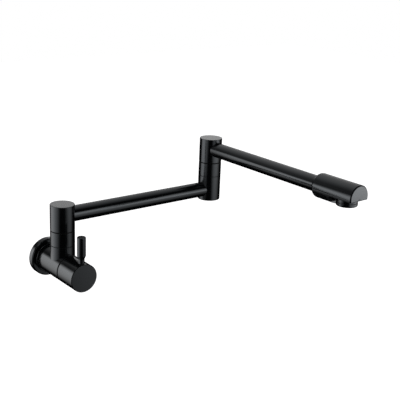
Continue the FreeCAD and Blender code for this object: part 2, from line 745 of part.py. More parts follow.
water_bore = new_sketch(spout, "water_bore", "XZ_Plane", ZERO)
draw_outline(water_bore, [
    (0, spout_start), (arm_radius + static_gap, spout_start),
    (arm_radius + static_gap, arm_two_end), (spout_chamber_radius, arm_two_end),
    (spout_chamber_radius, spout_chamber_end), (0, spout_chamber_end)])
revolve(spout, water_bore, removes=True)
round_cut(spout, "channel", "XY_Plane", (0, channel_rise), channel_radius,
          spout_chamber_end - static_gap, nozzle_out - spout_chamber_end, 1)
round_cut(spout, "nozzle_socket", "XZ_Plane", (0, nozzle_out), nozzle_thread_radius + static_gap,
          flat_drop - nozzle_socket_height, spout_radius + cut_overrun, 1)

nozzle_spot = (arm_span, -riser_out - nozzle_out, arm_two_height - flat_drop)
line_height = nozzle_drop * 0.5
line_floor = nozzle_line * 0.5
line_mouth = line_floor + nozzle_line
turned("aerator_housing", [
    (nozzle_bore_radius, nozzle_neck), (nozzle_thread_radius - line_chamfer, nozzle_neck),
    (nozzle_thread_radius, nozzle_neck - line_chamfer), (nozzle_thread_radius, 0),
    (nozzle_radius, 0), (nozzle_radius, line_mouth - line_height),
    (nozzle_radius - nozzle_line, line_floor - line_height),
    (nozzle_radius - nozzle_line, -line_floor - line_height),
    (nozzle_radius, -line_mouth - line_height), (nozzle_radius, nozzle_edge - nozzle_drop),
    (nozzle_radius - nozzle_edge, -nozzle_drop),
    (nozzle_bore_radius - nozzle_lip, -nozzle_drop),
    (nozzle_bore_radius - nozzle_lip, nozzle_lip - nozzle_drop),
    (nozzle_bore_radius, nozzle_lip - nozzle_drop)], base=nozzle_spot)

insert_radius = nozzle_bore_radius - static_gap
insert_foot = nozzle_lip - nozzle_drop
insert = turned("aerator_insert", [
    (0, insert_foot), (insert_radius, insert_foot), (insert_radius, insert_top),
    (insert_radius - insert_wall, insert_top),
    (insert_radius - insert_wall, insert_foot + insert_floor), (0, insert_foot + insert_floor)],
    base=nozzle_spot)
round_cut(insert, "jet_middle", "XY_Plane", (0, 0), jet_radius, insert_foot, insert_floor, 1)


def jet_circle(name, circle_radius, jet_count):
    """A circle of jets round the insert's middle."""
    jet = round_cut(insert, "jet_" + name, "XY_Plane", (circle_radius, 0), jet_radius,
                    insert_foot, insert_floor, 1)
    pattern = insert.newObject("PartDesign::PolarPattern", "jets_" + name)
    pattern.Originals = [jet]
    pattern.Axis = (jet.Profile[0], ["N_Axis"])
    pattern.Angle = 360
    pattern.Occurrences = jet_count
    insert.Tip = pattern
    doc.recompute()


jet_circle("inner", jet_ring_inner, inner_jet_count)
jet_circle("outer", jet_ring_outer, outer_jet_count)

turned("aerator_seal", [
    (nozzle_bore_radius - insert_wall, nozzle_neck),
    (nozzle_thread_radius - static_gap, nozzle_neck),
    (nozzle_thread_radius - static_gap, nozzle_socket_height),
    (nozzle_bore_radius - insert_wall, nozzle_socket_height)], base=nozzle_spot)


# ---------------------------------------------------------------- checks and export

doc.recompute()
for item in doc.Objects:
    if "Invalid" in item.State or "Error" in item.State:
        raise ValueError("%s is in state %s" % (item.Name, item.State))
for node in nodes:
    if node.Shape.isNull() or not node.Shape.isValid():
        raise ValueError(node.Label + " has no valid shape")
    node.Shape.exportStep("parts/%s.step" % node.Label)
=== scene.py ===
import math

import bmesh
import bpy
from mathutils import Matrix, Vector


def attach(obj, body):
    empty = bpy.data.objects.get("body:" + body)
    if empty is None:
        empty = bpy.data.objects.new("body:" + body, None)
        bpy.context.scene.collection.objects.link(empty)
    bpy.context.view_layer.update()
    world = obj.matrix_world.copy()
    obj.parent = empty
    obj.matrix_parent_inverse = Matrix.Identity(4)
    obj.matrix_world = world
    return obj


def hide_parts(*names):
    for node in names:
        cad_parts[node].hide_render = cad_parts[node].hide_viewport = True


# A wall mounted pot filler in a satin black coat. The pieces that show are turned and cut
# here with rounded edges; the seals, spigots and cartridge inside stay as they are.
# Sizes are given in millimetres and turned into metres as each mesh is made.

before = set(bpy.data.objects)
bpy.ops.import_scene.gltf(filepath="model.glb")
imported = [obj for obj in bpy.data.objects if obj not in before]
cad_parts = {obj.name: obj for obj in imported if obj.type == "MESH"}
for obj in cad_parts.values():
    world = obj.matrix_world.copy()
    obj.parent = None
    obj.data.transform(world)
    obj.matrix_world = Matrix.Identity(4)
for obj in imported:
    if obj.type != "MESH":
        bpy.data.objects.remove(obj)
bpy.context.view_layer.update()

MM = 0.001
FINE = 160                      # steps round a large turned piece
MEDIUM = 112                    # steps round a small one
SMALL = 64                      # steps round a narrow hole or stem
ARC_STEPS = 4                   # steps in a rounded edge
SMOOTH_ANGLE = math.radians(34)
WELD = 1e-7                     # metres under which points fall together

# sizes that several pieces share
BODY_RADIUS = 20.5
BODY_HOLE = 20.55               # in the flange and collar, round the body
FLANGE_FRONT = 9.5
COLUMN_RADIUS = 17.5
STUB_TOP = 31.75                # top of the body's stub, under the riser's ring
ELBOW_SEAM = 96.75              # top of the elbow's base, under its ring
SPIGOT_SEAT = 10.05             # bore that a swivel's spigot is screwed into
ARM_RADIUS = 11.4
ARM_BORE = 9.9
ARM_ROOT = 12.0                 # from a column's axis to the end of the arm in it
ARM_TWO_END = 250.5
SOCKET_RADIUS = 11.45           # holes that the arms stand in
SOCKET_MOUTH = 19               # just outside the column's side
STEM_RADIUS = 3.3
STEM_HOLE = 3.35
STEM_FOOT = 12.5
STEM_TOP = 34


# ---------------------------------------------------------------- directions

# each frame is three directions: two across the piece and the third along its axis
OUT = (Vector((1, 0, 0)), Vector((0, 0, 1)), Vector((0, -1, 0)))      # straight out of the wall
UP = (Vector((1, 0, 0)), Vector((0, 1, 0)), Vector((0, 0, 1)))
ALONG = (Vector((0, 1, 0)), Vector((0, 0, 1)), Vector((1, 0, 0)))     # to the right
BACK_ALONG = (Vector((0, -1, 0)), Vector((0, 0, 1)), Vector((-1, 0, 0)))
DOWN = (Vector((1, 0, 0)), Vector((0, -1, 0)), Vector((0, 0, -1)))

WALL = Vector((0, 0, 0))
RISER = Vector((0, -48, 0))
ELBOW = Vector((264, -48, 0))
ARM_ONE_HEIGHT = 74.85
ARM_TWO_HEIGHT = 139.85
LEVER = Vector((0, -99.75, 0))
GRUB_SCREW = Vector((0, -86, 0))
NOZZLE = Vector((264, -334.5, 135.2))


def at(spot, height):
    return Vector((spot.x, spot.y, spot.z + height))


# ---------------------------------------------------------------- mesh helpers

def rounded_outline(points):
    """A closed outline from (radius, height, rounding) corners, each corner cut by its arc."""
    outline = []
    count = len(points)
    for index, corner in enumerate(points):
        here = Vector(corner[:2])
        rounding = corner[2] if len(corner) > 2 else 0.0
        if rounding <= 0:
            outline.append(here)
            continue
        before = Vector(points[index - 1][:2]) - here
        after = Vector(points[(index + 1) % count][:2]) - here
        opening = before.angle(after)
        reach = rounding / math.tan(opening / 2)
        reach = min(reach, before.length * 0.49, after.length * 0.49)
        radius = reach * math.tan(opening / 2)
        before.normalize()
        after.normalize()
        middle = here + (before + after).normalized() * (radius / math.sin(opening / 2))
        start = here + before * reach - middle
        end = here + after * reach - middle
        sweep = start.angle(end)
        for step in range(ARC_STEPS + 1):
            part = step / ARC_STEPS
            bent = (start * math.sin((1 - part) * sweep) + end * math.sin(part * sweep))
            outline.append(middle + bent / math.sin(sweep))
    return outline


def turned_mesh(points, spot, directions, steps=FINE):
    """A bmesh turned from a closed outline about the axis through spot."""
    across, side, along = directions
    mesh = bmesh.new()
    rings = []
    for radius, height in rounded_outline(points):
        middle = spot + along * height
        if radius < 1e-6:
            rings.append([mesh.verts.new(middle * MM)])
            continue
        ring = []
        for step in range(steps):
            turn = 2 * math.pi * step / steps
            reach = across * (radius * math.cos(turn)) + side * (radius * math.sin(turn))
            ring.append(mesh.verts.new((middle + reach) * MM))
        rings.append(ring)
    for index, ring in enumerate(rings):
        following = rings[(index + 1) % len(rings)]
        if len(ring) == 1 and len(following) == 1:
            continue
        for step in range(steps):
            later = (step + 1) % steps
            corners = [ring[step % len(ring)], ring[later % len(ring)],
                       following[later % len(following)], following[step % len(following)]]
            mesh.faces.new(list(dict.fromkeys(corners)))
    bmesh.ops.recalc_face_normals(mesh, faces=mesh.faces)
    return mesh


def new_object(name, mesh):
    data = bpy.data.meshes.new(name)
    mesh.to_mesh(data)
    mesh.free()
    piece = bpy.data.objects.new(name, data)
    bpy.context.scene.collection.objects.link(piece)
    return piece


def apply_modifiers(piece):
    """Put the result of the piece's modifiers into its mesh."""
    graph = bpy.context.evaluated_depsgraph_get()
    graph.update()
    data = bpy.data.meshes.new_from_object(piece.evaluated_get(graph))
    piece.modifiers.clear()
    old = piece.data
    piece.data = data
    data.name = old.name.split(".")[0]
    bpy.data.meshes.remove(old)


def combine(piece, tools, operation):
    """Join or cut a piece with other meshes, which are used up."""
    for tool_mesh in tools:
        tool = new_object("tool", tool_mesh)
        change = piece.modifiers.new("change", "BOOLEAN")
        change.operation = operation
        change.solver = "EXACT"
        change.object = tool
        apply_modifiers(piece)
        bpy.data.objects.remove(tool)


def settle_shading(piece):
    """Smooth faces with crisp corners, and flat faces kept flat beside rounded edges."""
    mesh = bmesh.new()
    mesh.from_mesh(piece.data)
    bmesh.ops.remove_doubles(mesh, verts=mesh.verts, dist=WELD)
    bmesh.ops.dissolve_degenerate(mesh, edges=mesh.edges, dist=WELD)
    for face in mesh.faces:
        face.smooth = True
    for edge in mesh.edges:
        edge.smooth = len(edge.link_faces) == 2 and edge.calc_face_angle() < SMOOTH_ANGLE
    mesh.to_mesh(piece.data)
    mesh.free()
    even = piece.modifiers.new("even", "WEIGHTED_NORMAL")
    even.mode = "FACE_AREA"
    even.weight = 100
    even.keep_sharp = True
    apply_modifiers(piece)


# ---------------------------------------------------------------- materials

class Nodes:
    """Short calls for building one material's node tree."""

    def __init__(self, name):
        self.material = bpy.data.materials.new(name)
        self.material.use_nodes = True
        self.tree = self.material.node_tree
        self.shader = self.tree.nodes["Principled BSDF"]
        self.place = self.tree.nodes.new("ShaderNodeTexCoord").outputs["Object"]

    def join(self, output, target):
        self.tree.links.new(output, target)

    def noise(self, scale, detail, roughness=0.55, stretch=None):
        node = self.tree.nodes.new("ShaderNodeTexNoise")
        node.inputs["Scale"].default_value = scale
        node.inputs["Detail"].default_value = detail
        node.inputs["Roughness"].default_value = roughness
        source = self.place
        if stretch:
            mapping = self.tree.nodes.new("ShaderNodeMapping")
            mapping.inputs["Scale"].default_value = stretch
            self.join(self.place, mapping.inputs["Vector"])
            source = mapping.outputs["Vector"]
        self.join(source, node.inputs["Vector"])
        return node.outputs["Fac"]

    def spread(self, value, low, high, start=0.3, end=0.7):
        node = self.tree.nodes.new("ShaderNodeMapRange")
        node.inputs["From Min"].default_value = start
        node.inputs["From Max"].default_value = end
        node.inputs["To Min"].default_value = low
        node.inputs["To Max"].default_value = high
        self.join(value, node.inputs["Value"])
        return node.outputs["Result"]

    def mix(self, factor, first, second):
        node = self.tree.nodes.new("ShaderNodeMix")
        node.data_type = "RGBA"
        self.join(factor, node.inputs["Factor"])
        for slot, colour in (("A", first), ("B", second)):
            if isinstance(colour, tuple):
                node.inputs[slot].default_value = (*colour, 1.0)
            else:
                self.join(colour, node.inputs[slot])
        return node.outputs["Result"]

    def math(self, operation, first, second):
        node = self.tree.nodes.new("ShaderNodeMath")
        node.operation = operation
        for index, value in enumerate((first, second)):
            if isinstance(value, (int, float)):
                node.inputs[index].default_value = value
            else:
                self.join(value, node.inputs[index])
        return node.outputs["Value"]

    def worn_edges(self):
        """From 0 on flat places to 1 on outer edges, in patches."""
        geometry = self.tree.nodes.new("ShaderNodeNewGeometry")
        edges = self.spread(geometry.outputs["Pointiness"], 0.0, 1.0, start=0.53, end=0.6)
        patches = self.spread(self.noise(180.0, detail=4.0), 0.2, 1.0, start=0.4, end=0.65)
        return self.math("MULTIPLY", edges, patches)

    def bump(self, heights, distance, strength):
        node = self.tree.nodes.new("ShaderNodeBump")
        node.inputs["Strength"].default_value = strength
        node.inputs["Distance"].default_value = distance
        self.join(heights, node.inputs["Height"])
        self.join(node.outputs["Normal"], self.shader.inputs["Normal"])


COOL_SHEEN = (0.88, 0.945, 1.0)        # the coat's highlights are slightly blue


def satin_black(name, base, worn, smooth, rough):
    """The coat on every outer piece: near black, satin, with a fine skin and faint edge wear."""
    nodes = Nodes(name)
    cloud = nodes.spread(nodes.noise(38.0, detail=2.0), 0.0, 1.0)
    lighter = tuple(channel * 1.6 + 0.0004 for channel in base)
    coat = nodes.mix(cloud, base, lighter)
    edges = nodes.worn_edges()
    nodes.join(nodes.mix(edges, coat, worn), nodes.shader.inputs["Base Color"])
    skin = nodes.spread(nodes.noise(260.0, detail=3.0), smooth, rough)
    rubbed = nodes.math("MULTIPLY", edges, 0.06)
    nodes.join(nodes.math("ADD", skin, rubbed), nodes.shader.inputs["Roughness"])
    nodes.bump(nodes.noise(2600.0, detail=2.0), distance=0.004 * MM, strength=0.5)
    nodes.shader.inputs["IOR"].default_value = 1.5
    nodes.shader.inputs["Specular Tint"].default_value = (*COOL_SHEEN, 1.0)
    return nodes.material


def machined(name, base, dark, smooth, rough, stretch):
    """Bare turned metal with tool lines round its axis."""
    nodes = Nodes(name)
    lines = nodes.noise(900.0, detail=3.0, roughness=0.6, stretch=stretch)
    tarnish = nodes.spread(nodes.noise(70.0, detail=4.0), 0.0, 1.0, start=0.45, end=0.75)
    nodes.join(nodes.mix(tarnish, base, dark), nodes.shader.inputs["Base Color"])
    nodes.join(nodes.spread(lines, smooth, rough), nodes.shader.inputs["Roughness"])
    nodes.bump(lines, distance=0.01 * MM, strength=0.6)
    nodes.shader.inputs["Metallic"].default_value = 1.0
    return nodes.material


def moulded(name, base, other, smooth, rough):
    """Rubber, plastic or ceramic with a fine moulded grain."""
    nodes = Nodes(name)
    cloud = nodes.spread(nodes.noise(90.0, detail=3.0), 0.0, 1.0)
    nodes.join(nodes.mix(cloud, base, other), nodes.shader.inputs["Base Color"])
    grains = nodes.noise(1400.0, detail=3.0)
    nodes.join(nodes.spread(grains, smooth, rough), nodes.shader.inputs["Roughness"])
    nodes.bump(grains, distance=0.01 * MM, strength=0.6)
    return nodes.material


CLEAN_BRASS = (0.62, 0.47, 0.24)
DULL_BRASS = (0.42, 0.29, 0.14)

BLACK = satin_black("satin_black", (0.0008, 0.0009, 0.0011), (0.009, 0.0095, 0.0105), 0.14, 0.18)
BRASS = machined("turned_brass", CLEAN_BRASS, DULL_BRASS, 0.22, 0.42, (0.2, 3.0, 0.2))
BRASS_UPRIGHT = machined("turned_brass_upright", CLEAN_BRASS, DULL_BRASS, 0.22, 0.42, (0.2, 0.2, 3.0))
STEEL = machined("bright_steel", (0.5, 0.5, 0.51), (0.34, 0.34, 0.35), 0.18, 0.34, (1.0, 1.0, 1.0))
RUBBER = moulded("seal_rubber", (0.018, 0.018, 0.019), (0.03, 0.03, 0.031), 0.55, 0.75)
SLIDE = moulded("slide_plastic", (0.002, 0.002, 0.0022), (0.004, 0.004, 0.0042), 0.6, 0.75)
SLIDE.node_tree.nodes["Principled BSDF"].inputs["Specular IOR Level"].default_value = 0.12
JET = moulded("jet_plastic", (0.3, 0.31, 0.32), (0.36, 0.37, 0.38), 0.4, 0.55)
CERAMIC = moulded("lapped_ceramic", (0.84, 0.82, 0.78), (0.88, 0.86, 0.83), 0.12, 0.2)


def show(piece, node, body, material=BLACK):
    """Finish a piece that stands for a CAD node and moves with its body."""
    settle_shading(piece)
    piece.data.materials.clear()
    piece.data.materials.append(material)
    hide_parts(node)
    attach(piece, body)


def turned(node, points, spot, directions, body, steps=FINE, joins=(), cuts=()):
    """A black piece turned from its outline, with what is joined to it and cut from it."""
    piece = new_object(node + "_form", turned_mesh(points, spot, directions, steps))
    combine(piece, joins, "UNION")
    combine(piece, cuts, "DIFFERENCE")
    show(piece, node, body)


def bore(radius, start, end, spot, directions, steps=MEDIUM):
    """A plain round cutter from start to end along its axis."""
    return turned_mesh([(0, start), (radius, start), (radius, end), (0, end)],
                       spot, directions, steps)


# ---------------------------------------------------------------- wall flange and inlet

FLANGE_RADIUS = 28.3
FLANGE_BEVEL = 1.4
FLANGE_POCKET = 26.45           # radius of the hollow behind the flange
COLLAR_RADIUS = 22.35
COLLAR_FRONT = 12.4
COLLAR_BEVEL = 0.7

turned("wall_flange", [
    (FLANGE_POCKET, 0, 0.1), (FLANGE_RADIUS, 0, 0.3),
    (FLANGE_RADIUS, FLANGE_FRONT - FLANGE_BEVEL, 0.45),
    (FLANGE_RADIUS - FLANGE_BEVEL, FLANGE_FRONT, 0.45), (BODY_HOLE, FLANGE_FRONT, 0.15),
    (BODY_HOLE, 2), (22.95, 2), (22.95, 4.5), (FLANGE_POCKET, 4.5)], WALL, OUT, "base")
turned("collar_ring", [
    (BODY_HOLE, FLANGE_FRONT), (COLLAR_RADIUS, FLANGE_FRONT, 0.1),
    (COLLAR_RADIUS, COLLAR_FRONT - COLLAR_BEVEL, 0.3),
    (COLLAR_RADIUS - COLLAR_BEVEL, COLLAR_FRONT, 0.3), (BODY_HOLE, COLLAR_FRONT, 0.1)],
    WALL, OUT, "base")


def inlet_nipple():
    """The half-inch nipple with its real thread as one helical ridge on a turned core."""
    bore_radius, shank = 7.0, 10.2
    root, crest, pitch = 9.32, 10.46, 1.814
    back, front = -16.0, 14.0
    core = turned_mesh([
        (bore_radius, back, 0.2), (9.1, back, 0.25), (root, back + 0.4), (root, -2.6), (shank, -1.6),
        (shank, front), (bore_radius, front)], WALL, OUT, MEDIUM)
    piece = new_object("inlet_nipple_form", core)
    across, side, along = OUT
    ridge = bmesh.new()
    per_turn = 72
    first, last = -15.2, -3.4
    fade_turns, lowest = 0.35, 0.03
    foot, half_foot, half_crest = root - 0.08, 0.8, 0.16
    total = int((last - first) / pitch * per_turn)
    rows = []
    for step in range(total + 1):
        turn = 2 * math.pi * step / per_turn
        height = first + pitch * step / per_turn
        ends = min(step, total - step) / (per_turn * fade_turns)
        top = root + (crest - root) * max(lowest, min(1.0, ends))
        row = []
        for radius, offset in ((foot, -half_foot), (top, -half_crest), (top, half_crest),
                               (foot, half_foot)):
            spoke = across * (radius * math.cos(turn)) + side * (radius * math.sin(turn))
            row.append(ridge.verts.new((spoke + along * (height + offset)) * MM))
        rows.append(row)
    for row, following in zip(rows, rows[1:]):
        for k in range(4):
            later = (k + 1) % 4
            ridge.faces.new((row[k], row[later], following[later], following[k]))
    ridge.faces.new(rows[0])
    ridge.faces.new(rows[-1])
    bmesh.ops.recalc_face_normals(ridge, faces=ridge.faces)
    whole = bmesh.new()
    whole.from_mesh(piece.data)
    ridge_data = bpy.data.meshes.new("ridge")
    ridge.to_mesh(ridge_data)
    ridge.free()
    whole.from_mesh(ridge_data)
    whole.to_mesh(piece.data)
    whole.free()
    bpy.data.meshes.remove(ridge_data)
    show(piece, "inlet_nipple", "base", BRASS)


inlet_nipple()


# ---------------------------------------------------------------- valve body

BODY_BACK = 2
BODY_FRONT = 68
BODY_CHAMFER = 1
INLET_BORE = 10.25
CARTRIDGE_BORE = 12.55

riser_stub = turned_mesh([
    (0, 0), (COLUMN_RADIUS, 0), (COLUMN_RADIUS, STUB_TOP, 0.15), (0, STUB_TOP)], RISER, UP)
waterway = turned_mesh([
    (0, 0), (INLET_BORE, 0), (INLET_BORE, 16), (8.5, 16), (8.5, 30), (5, 30), (5, 34),
    (CARTRIDGE_BORE, 34), (CARTRIDGE_BORE, 70), (0, 70)], WALL, OUT, MEDIUM)
riser_port = bore(5.6, 0, 40, RISER, UP)
riser_seat = bore(SPIGOT_SEAT, 17.75, 40, RISER, UP)
turned("valve_body", [
    (0, BODY_BACK), (BODY_RADIUS, BODY_BACK, 0.3), (BODY_RADIUS, BODY_FRONT - BODY_CHAMFER, 0.15),
    (BODY_RADIUS - BODY_CHAMFER, BODY_FRONT, 0.15), (0, BODY_FRONT)],
    WALL, OUT, "base", joins=[riser_stub], cuts=[waterway, riser_port, riser_seat])


# ---------------------------------------------------------------- handle cap and lever

CAP_BACK = 69.5
CAP_FRONT = 107.25
CAP_BACK_CHAMFER = 0.6
CAP_FRONT_CHAMFER = 0.8
CAP_HOLLOW = 17.5
HUB_RADIUS = 9
SPINDLE_HOLE = 4.05
SLEEVE_RADIUS = 4.35
SLEEVE_FOOT = 20.6
GRIP_RADIUS = 6.15
LEVER_TOP = 58.7

turned("handle_cap", [
    (CAP_HOLLOW, CAP_BACK), (BODY_RADIUS - CAP_BACK_CHAMFER, CAP_BACK),
    (BODY_RADIUS, CAP_BACK + CAP_BACK_CHAMFER, 0.15),
    (BODY_RADIUS, CAP_FRONT - CAP_FRONT_CHAMFER, 0.2),
    (BODY_RADIUS - CAP_FRONT_CHAMFER, CAP_FRONT, 0.2), (0, CAP_FRONT),
    (0, 92.5), (SPINDLE_HOLE, 92.5), (SPINDLE_HOLE, 78), (HUB_RADIUS, 78, 0.2),
    (HUB_RADIUS, 94.5), (CAP_HOLLOW, 94.5)], WALL, OUT, "handle",
    cuts=[bore(STEM_HOLE, STEM_FOOT, 30, LEVER, UP, SMALL),
          bore(2.05, 0, 9.4, GRUB_SCREW, DOWN, 48),
          bore(2.6, 17.1, 24, GRUB_SCREW, DOWN, SMALL)])
turned("lever_stem", [
    (0, STEM_FOOT), (STEM_RADIUS, STEM_FOOT, 0.4), (STEM_RADIUS, STEM_TOP, 0.4), (0, STEM_TOP)],
    LEVER, UP, "handle", SMALL)
turned("lever_grip", [
    (STEM_HOLE, SLEEVE_FOOT), (SLEEVE_RADIUS, SLEEVE_FOOT), (SLEEVE_RADIUS, 27, 2.5),
    (GRIP_RADIUS, 31.2, 0.8), (GRIP_RADIUS, LEVER_TOP, 1.3), (0, LEVER_TOP),
    (0, STEM_TOP), (STEM_HOLE, STEM_TOP)], LEVER, UP, "handle", MEDIUM)


# ---------------------------------------------------------------- swivel columns

RING_HEIGHT = 21.45
RING_BORE = 9.12
HEAD_BORE = 9.06
CLIP_SPACE = 11.4               # radius of the space for the circlip, under the top disc
SEAM = 0.8                      # the gap under the turning head
SEAM_SLOPE = 0.7
HEAD_HEIGHT = 37.55
DISC_RADIUS = 16.25
DISC_HOLE = 16.3
DISC_THICKNESS = 2
ARM_IN_HEAD = 20.85             # the arm's axis above the head's foot


def column(prefix, spot, foot, arm_directions, ring_body, head_body):
    """The spacer ring, turning head and top disc of one swivel column."""
    ring_top = foot + RING_HEIGHT
    turned(prefix + "_ring", [
        (13.5, foot), (COLUMN_RADIUS - SEAM_SLOPE, foot), (COLUMN_RADIUS - SEAM_SLOPE, foot + 0.5),
        (COLUMN_RADIUS, foot + 0.5 + SEAM_SLOPE, 0.15), (COLUMN_RADIUS, ring_top, 0.15),
        (RING_BORE, ring_top), (RING_BORE, foot + 13), (13.5, foot + 13)], spot, UP, ring_body)
    head = ring_top + SEAM
    head_top = head + HEAD_HEIGHT
    disc_foot = head_top - DISC_THICKNESS
    arm_spot = at(spot, head + ARM_IN_HEAD)
    turned(prefix + "_head", [
        (HEAD_BORE, head), (COLUMN_RADIUS - SEAM_SLOPE, head, 0.12),
        (COLUMN_RADIUS, head + SEAM_SLOPE, 0.12), (COLUMN_RADIUS, head_top, 0.5),
        (DISC_HOLE, head_top), (DISC_HOLE, disc_foot), (CLIP_SPACE, disc_foot),
        (CLIP_SPACE, head + 32.25), (HEAD_BORE, head + 32.25), (HEAD_BORE, head + 26.5),
        (12.5, head + 26.5), (12.5, head + 10), (HEAD_BORE, head + 10)], spot, UP, head_body,
        cuts=[bore(SOCKET_RADIUS, ARM_ROOT, SOCKET_MOUTH, arm_spot, arm_directions),
              bore(6, 8, ARM_ROOT + 0.1, arm_spot, arm_directions)])
    turned(prefix + "_top_cap", [
        (0, disc_foot), (DISC_RADIUS, disc_foot), (DISC_RADIUS, head_top, 0.15), (0, head_top)],
        spot, UP, head_body)


column("riser", RISER, STUB_TOP, ALONG, "base", "first_arm")
column("elbow", ELBOW, ELBOW_SEAM, OUT, "first_arm", "second_arm")


# ---------------------------------------------------------------- arms and elbow base

ARM_ONE_END = 252.0
ELBOW_FOOT = 58.4
ELBOW_FLOOR = 61.4

turned("arm_1_tube", [
    (ARM_BORE, ARM_ROOT), (ARM_RADIUS, ARM_ROOT, 0.2), (ARM_RADIUS, ARM_ONE_END, 0.2),
    (ARM_BORE, ARM_ONE_END)], at(RISER, ARM_ONE_HEIGHT), ALONG, "first_arm")
elbow_arm_spot = at(ELBOW, ARM_ONE_HEIGHT)
turned("elbow_base", [
    (0, ELBOW_FOOT), (COLUMN_RADIUS, ELBOW_FOOT, 0.8), (COLUMN_RADIUS, ELBOW_SEAM, 0.15),
    (SPIGOT_SEAT, ELBOW_SEAM), (SPIGOT_SEAT, ELBOW_FLOOR), (0, ELBOW_FLOOR)],
    ELBOW, UP, "first_arm",
    cuts=[bore(SOCKET_RADIUS, ARM_ROOT, SOCKET_MOUTH, elbow_arm_spot, BACK_ALONG),
          bore(8.5, 5, ARM_ROOT + 0.1, elbow_arm_spot, BACK_ALONG)])
turned("arm_2_tube", [
    (ARM_BORE, ARM_ROOT), (ARM_RADIUS, ARM_ROOT, 0.2), (ARM_RADIUS, ARM_TWO_END, 0.2),
    (ARM_BORE, ARM_TWO_END)], at(ELBOW, ARM_TWO_HEIGHT), OUT, "second_arm")


# ---------------------------------------------------------------- spout head and aerator

HEAD_AXIS = at(ELBOW, ARM_TWO_HEIGHT)
SPOUT_RADIUS = 17.2
SPOUT_BACK = 233.0
SPOUT_FRONT = 307.4
FRONT_SLOPE = 1.4
FLAT_DROP = 4.65                # from the spout's axis down to its flat
FLAT_BACK = 269.1               # where the flat meets the upright wall behind it
FLAT_SLOPE = 1.0                # under the D face
EDGE_WIDTH = 0.25
NOZZLE_RADIUS = 14.6
NOZZLE_SOCKET = 12.05
NOZZLE_FOOT = -10.4
GROOVE = 0.5


def under_cut():
    """What is taken away below the front of the spout head, with a slope at the front edge."""
    mesh = bmesh.new()
    slope_start = SPOUT_FRONT - FLAT_SLOPE
    far, low = 320, -30
    profile = [(FLAT_BACK, low), (FLAT_BACK, -FLAT_DROP), (slope_start, -FLAT_DROP),
               (far, far - slope_start - FLAT_DROP), (far, low)]
    sides = []
    for x in (-30, 30):
        corners = [HEAD_AXIS + Vector((x, -out, z)) for out, z in profile]
        sides.append([mesh.verts.new(corner * MM) for corner in corners])
    mesh.faces.new(sides[0])
    mesh.faces.new(sides[1])
    for index in range(len(profile)):
        later = (index + 1) % len(profile)
        mesh.faces.new((sides[0][index], sides[0][later], sides[1][later], sides[1][index]))
    bmesh.ops.recalc_face_normals(mesh, faces=mesh.faces)
    return mesh


def spout_head():
    """The turned head with its D-shaped front, bored for the arm, the water and the aerator."""
    piece = new_object("spout_head_form", turned_mesh([
        (0, SPOUT_BACK), (12.4, SPOUT_BACK, 0.3), (SPOUT_RADIUS, SPOUT_BACK + 3.5, 5.0),
        (SPOUT_RADIUS, SPOUT_FRONT - FRONT_SLOPE, 0.3),
        (SPOUT_RADIUS - FRONT_SLOPE, SPOUT_FRONT, 0.3), (0, SPOUT_FRONT)], HEAD_AXIS, OUT))
    combine(piece, [under_cut()], "DIFFERENCE")
    edge = piece.modifiers.new("edge", "BEVEL")
    edge.width = EDGE_WIDTH * MM
    edge.segments = 3
    edge.limit_method = "ANGLE"
    edge.angle_limit = math.radians(40)
    apply_modifiers(piece)
    arm_way = turned_mesh([
        (0, 225), (SOCKET_RADIUS, 225), (SOCKET_RADIUS, ARM_TWO_END), (9, ARM_TWO_END),
        (9, 262), (0, 262)], HEAD_AXIS, OUT, MEDIUM)
    water_way = bore(5, 261, 286.5, at(HEAD_AXIS, 4.3), OUT, SMALL)
    nozzle_way = bore(NOZZLE_SOCKET, -9.8, 30, NOZZLE, DOWN)
    combine(piece, [arm_way, water_way, nozzle_way], "DIFFERENCE")
    show(piece, "spout_head", "second_arm")


spout_head()
turned("aerator_housing", [
    (10.4, 8), (11.6, 8), (12, 7.6), (12, 0), (NOZZLE_RADIUS, 0, 0.25),
    (NOZZLE_RADIUS, -4.45, 0.2), (NOZZLE_RADIUS - GROOVE, -4.45 - GROOVE),
    (NOZZLE_RADIUS - GROOVE, -5.45), (NOZZLE_RADIUS, -5.45 - GROOVE, 0.2),
    (NOZZLE_RADIUS, NOZZLE_FOOT, 1.5), (9.6, NOZZLE_FOOT, 0.25), (9.6, -9.6), (10.4, -9.6)],
    NOZZLE, UP, "second_arm", MEDIUM)


# ---------------------------------------------------------------- pieces that stay as they are

KEPT = {
    RUBBER: ("flange_gasket", "inlet_seal", "cartridge_seal", "riser_o_rings", "elbow_o_rings",
             "aerator_seal"),
    BRASS: ("cartridge_body", "cartridge_spindle"),
    BRASS_UPRIGHT: ("riser_spigot", "elbow_spigot"),
    STEEL: ("riser_circlip", "elbow_circlip", "grub_screw"),
    SLIDE: ("cap_guide_ring", "riser_thrust_washer", "elbow_thrust_washer"),
    JET: ("aerator_insert",),
    CERAMIC: ("ceramic_fixed", "ceramic_turning"),
}
for material, names in KEPT.items():
    for name in names:
        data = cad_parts[name].data
        data.materials.clear()
        data.materials.append(material)


# ---------------------------------------------------------------- floor, flags and light

FLOOR_HEIGHT = -1.0
FLOOR_GREY = (0.86, 0.86, 0.86, 1.0)
WHITE = (1.0, 1.0, 1.0, 1.0)
WORLD_LIGHT = 0.35              # what the world sends onto the object
FLOOR_GLOW = 0.9                # what the floor adds in the camera's picture
STUDIO = Vector((0.15, -0.2, 0.08))
FLAG_DISTANCE = 4.0
FLAG_STEP = 2                   # degrees
OPEN_TURNS = range(126, 168)    # the opening in the flags, in degrees
OPEN_RISES = range(8, 20)


